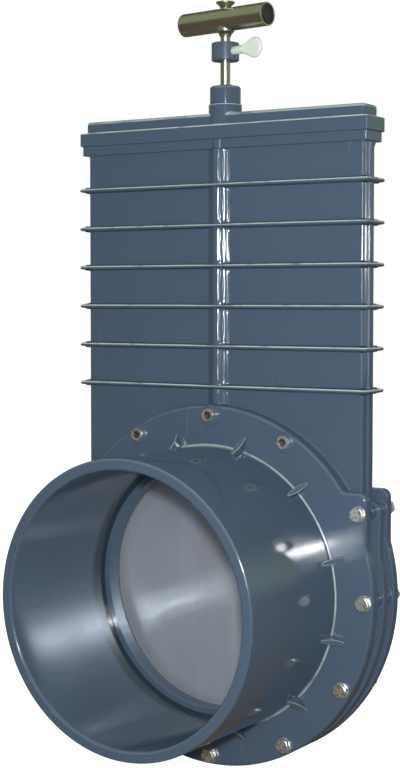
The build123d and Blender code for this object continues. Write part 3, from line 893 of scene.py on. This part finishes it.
class SLIDEGATE_OT_stage(bpy.types.Operator):
    """Set the floor, the lamps, the white surround and the camera"""

    bl_idname = "slidegate.stage"
    bl_label = "Stage and camera"

    def execute(self, context):
        scene = context.scene
        stage = scene.valve_looks.stage
        lens = bpy.data.cameras.new("camera")
        lens.lens, lens.sensor_width = stage.focal_length, 36.0
        camera = bpy.data.objects.new("camera", lens)
        camera.location, camera.rotation_euler = stage.camera_place, stage.camera_turn
        scene.collection.objects.link(camera)
        scene.camera = camera

        flash_lift, aim_height = 0.13, 0.35
        beside_camera = Vector(stage.camera_place) + Vector((0, 0, flash_lift))
        front = Vector((0, middle_y, aim_height))
        self.lamp(scene, "flash", "DISK", (0.10, 0.10), stage.flash_power, beside_camera, front)
        self.lamp(scene, "strip", "RECTANGLE", (0.05, 0.60), stage.strip_power, beside_camera, front)
        overhead, behind = Vector((-1.4, -0.25, 2.6)), Vector((0.3, 2.8, 1.2))
        for lamp in (
                self.lamp(scene, "ceiling", "RECTANGLE", (1.2, 2.0), stage.ceiling_power, overhead,
                          overhead + Vector((0.01, 0, -1))),
                self.lamp(scene, "fill", "RECTANGLE", (2.0, 1.6), stage.fill_power, behind, front)):
            lamp.visible_glossy = lamp.visible_camera = False
        self.surround(scene, stage)
        self.ground(scene, stage)
        self.dark_room(scene)
        scene.view_settings.view_transform = "Standard"
        return {"FINISHED"}

    def lamp(self, scene, name, shape, size, power, place, target):
        """Area lamp that faces a target."""
        light = bpy.data.lights.new(name, "AREA")
        light.shape, light.energy = shape, power
        light.size, light.size_y = size
        lamp = bpy.data.objects.new(name, light)
        lamp.location = place
        lamp.rotation_euler = (target - place).to_track_quat("-Z", "Y").to_euler()
        scene.collection.objects.link(lamp)
        return lamp

    def dark_room(self, scene):
        """Dark screens out of the picture on all sides, which only the gloss and bright metal reflect."""
        low, high, near, far = floor_z + 0.0005, 5.0, -7.0, 7.0
        corners = [(x, y, z) for z in (low, high) for y in (near, far) for x in (near, far)]
        mesh = bpy.data.meshes.new("dark_room")
        mesh.from_pydata(corners, [], [(0, 1, 3, 2), (4, 6, 7, 5), (0, 4, 5, 1), (2, 3, 7, 6), (0, 2, 6, 4),
                                       (1, 5, 7, 3)])
        room = bpy.data.objects.new("dark_room", mesh)
        scene.collection.objects.link(room)
        material = bpy.data.materials.new("dark_room")
        material.use_nodes = True
        tree = material.node_tree
        tree.nodes.clear()
        place = node(tree, "ShaderNodeTexCoord").outputs["Object"]
        axes = node(tree, "ShaderNodeSeparateXYZ", Vector=place).outputs
        front_tone, back_tone = (0.085, 0.10, 0.105, 1), (0.50, 0.60, 0.34, 1)
        floor_tone = (0.112, 0.084, 0.056, 1)
        near_ceiling, far_ceiling = (0.28, 0.295, 0.185, 1), (0.07, 0.08, 0.035, 1)
        tone = blend_colours(tree, spread(tree, axes["Y"], -1.0, 4.0, 0.0, 1.0), front_tone, back_tone)
        tone = blend_colours(tree, spread(tree, axes["Z"], -0.2, 0.9, 0.0, 1.0), floor_tone, tone)
        top = blend_colours(tree, spread(tree, axes["Y"], -0.5, 2.5, 0.0, 1.0), near_ceiling, far_ceiling)
        tone = blend_colours(tree, spread(tree, axes["Z"], 1.2, 3.2, 0.0, 1.0), tone, top)
        glow = node(tree, "ShaderNodeEmission", Color=tone, Strength=1.0)
        node(tree, "ShaderNodeOutputMaterial", Surface=glow.outputs[0])
        mesh.materials.append(material)
        room.visible_camera = room.visible_diffuse = room.visible_shadow = room.visible_transmission = False

    def seen_directly(self, tree):
        """One for rays from the camera, a glossy surface or a clear one, and zero for the rest."""
        path = node(tree, "ShaderNodeLightPath").outputs
        seen = maths(tree, "MAXIMUM", path["Is Camera Ray"], path["Is Glossy Ray"])
        return maths(tree, "MAXIMUM", seen, path["Is Transmission Ray"])

    def surround(self, scene, stage):
        """Even room light, which looks white."""
        world = bpy.data.worlds.new("surround")
        world.use_nodes = True
        tree = world.node_tree
        tree.nodes.clear()
        room = node(tree, "ShaderNodeBackground", Color=(1, 1, 1, 1), Strength=stage.room_light)
        white = node(tree, "ShaderNodeBackground", Color=(1, 1, 1, 1), Strength=1.0)
        mix = node(tree, "ShaderNodeMixShader", Fac=self.seen_directly(tree), _1=room.outputs[0],
                   _2=white.outputs[0])
        node(tree, "ShaderNodeOutputWorld", Surface=mix.outputs[0])
        scene.world = world

    def ground(self, scene, stage):
        """Pale floor that looks white and keeps the shadow."""
        mesh = bpy.data.meshes.new("floor")
        size, whiteness = 14.0, 0.965
        mesh.from_pydata([(-size, -size, floor_z), (size, -size, floor_z), (size, size, floor_z),
                          (-size, size, floor_z)], [], [(0, 1, 2, 3)])
        floor = bpy.data.objects.new("floor", mesh)
        scene.collection.objects.link(floor)
        material = bpy.data.materials.new("floor")
        material.use_nodes = True
        tree = material.node_tree
        tree.nodes.clear()
        matt = node(tree, "ShaderNodeBsdfDiffuse", Color=shade(stage.floor, 1.0))
        glow = node(tree, "ShaderNodeEmission", Color=(1, 1, 1, 1),
                    Strength=times(tree, self.seen_directly(tree), whiteness))
        both = node(tree, "ShaderNodeAddShader", _0=matt.outputs[0], _1=glow.outputs[0])
        node(tree, "ShaderNodeOutputMaterial", Surface=both.outputs[0])
        mesh.materials.append(material)


class SLIDEGATE_PT_looks(bpy.types.Panel):
    """Lists the valve's pieces and settings"""

    bl_idname = "SLIDEGATE_PT_looks"
    bl_label = "Slide gate valve"
    bl_space_type = "VIEW_3D"
    bl_region_type = "UI"
    bl_category = "Valve"

    def draw(self, context):
        looks = context.scene.valve_looks
        for group in (looks.finishes, looks.sizes, looks.stage):
            box = self.layout.box()
            for name in group.__annotations__:
                box.prop(group, name)
        for operator in operators:
            self.layout.operator(operator.bl_idname)


operators = (SLIDEGATE_OT_mouldings, SLIDEGATE_OT_seals, SLIDEGATE_OT_gate, SLIDEGATE_OT_handle,
             SLIDEGATE_OT_stop, SLIDEGATE_OT_bolts, SLIDEGATE_OT_socket_screws, SLIDEGATE_OT_stage)
classes = (ValveFinishes, ValveSizes, ValveStage, ValveLooks, *operators, SLIDEGATE_PT_looks)


def register():
    """Register the classes and hang the settings on the scene."""
    for cls in classes:
        bpy.utils.register_class(cls)
    bpy.types.Scene.valve_looks = bpy.props.PointerProperty(type=ValveLooks, name="Valve looks",
                                                            description="Settings of the valve's looks")


def unregister():
    """Take the settings and the classes away."""
    del bpy.types.Scene.valve_looks
    for cls in reversed(classes):
        bpy.utils.unregister_class(cls)


def main():
    """Build every piece and the stage."""
    register()
    bpy.ops.slidegate.mouldings()
    bpy.ops.slidegate.seals()
    bpy.ops.slidegate.gate()
    bpy.ops.slidegate.handle()
    bpy.ops.slidegate.stop()
    bpy.ops.slidegate.bolts()
    bpy.ops.slidegate.socket_screws()
    bpy.ops.slidegate.stage()


if __name__ == "__main__":
    main()
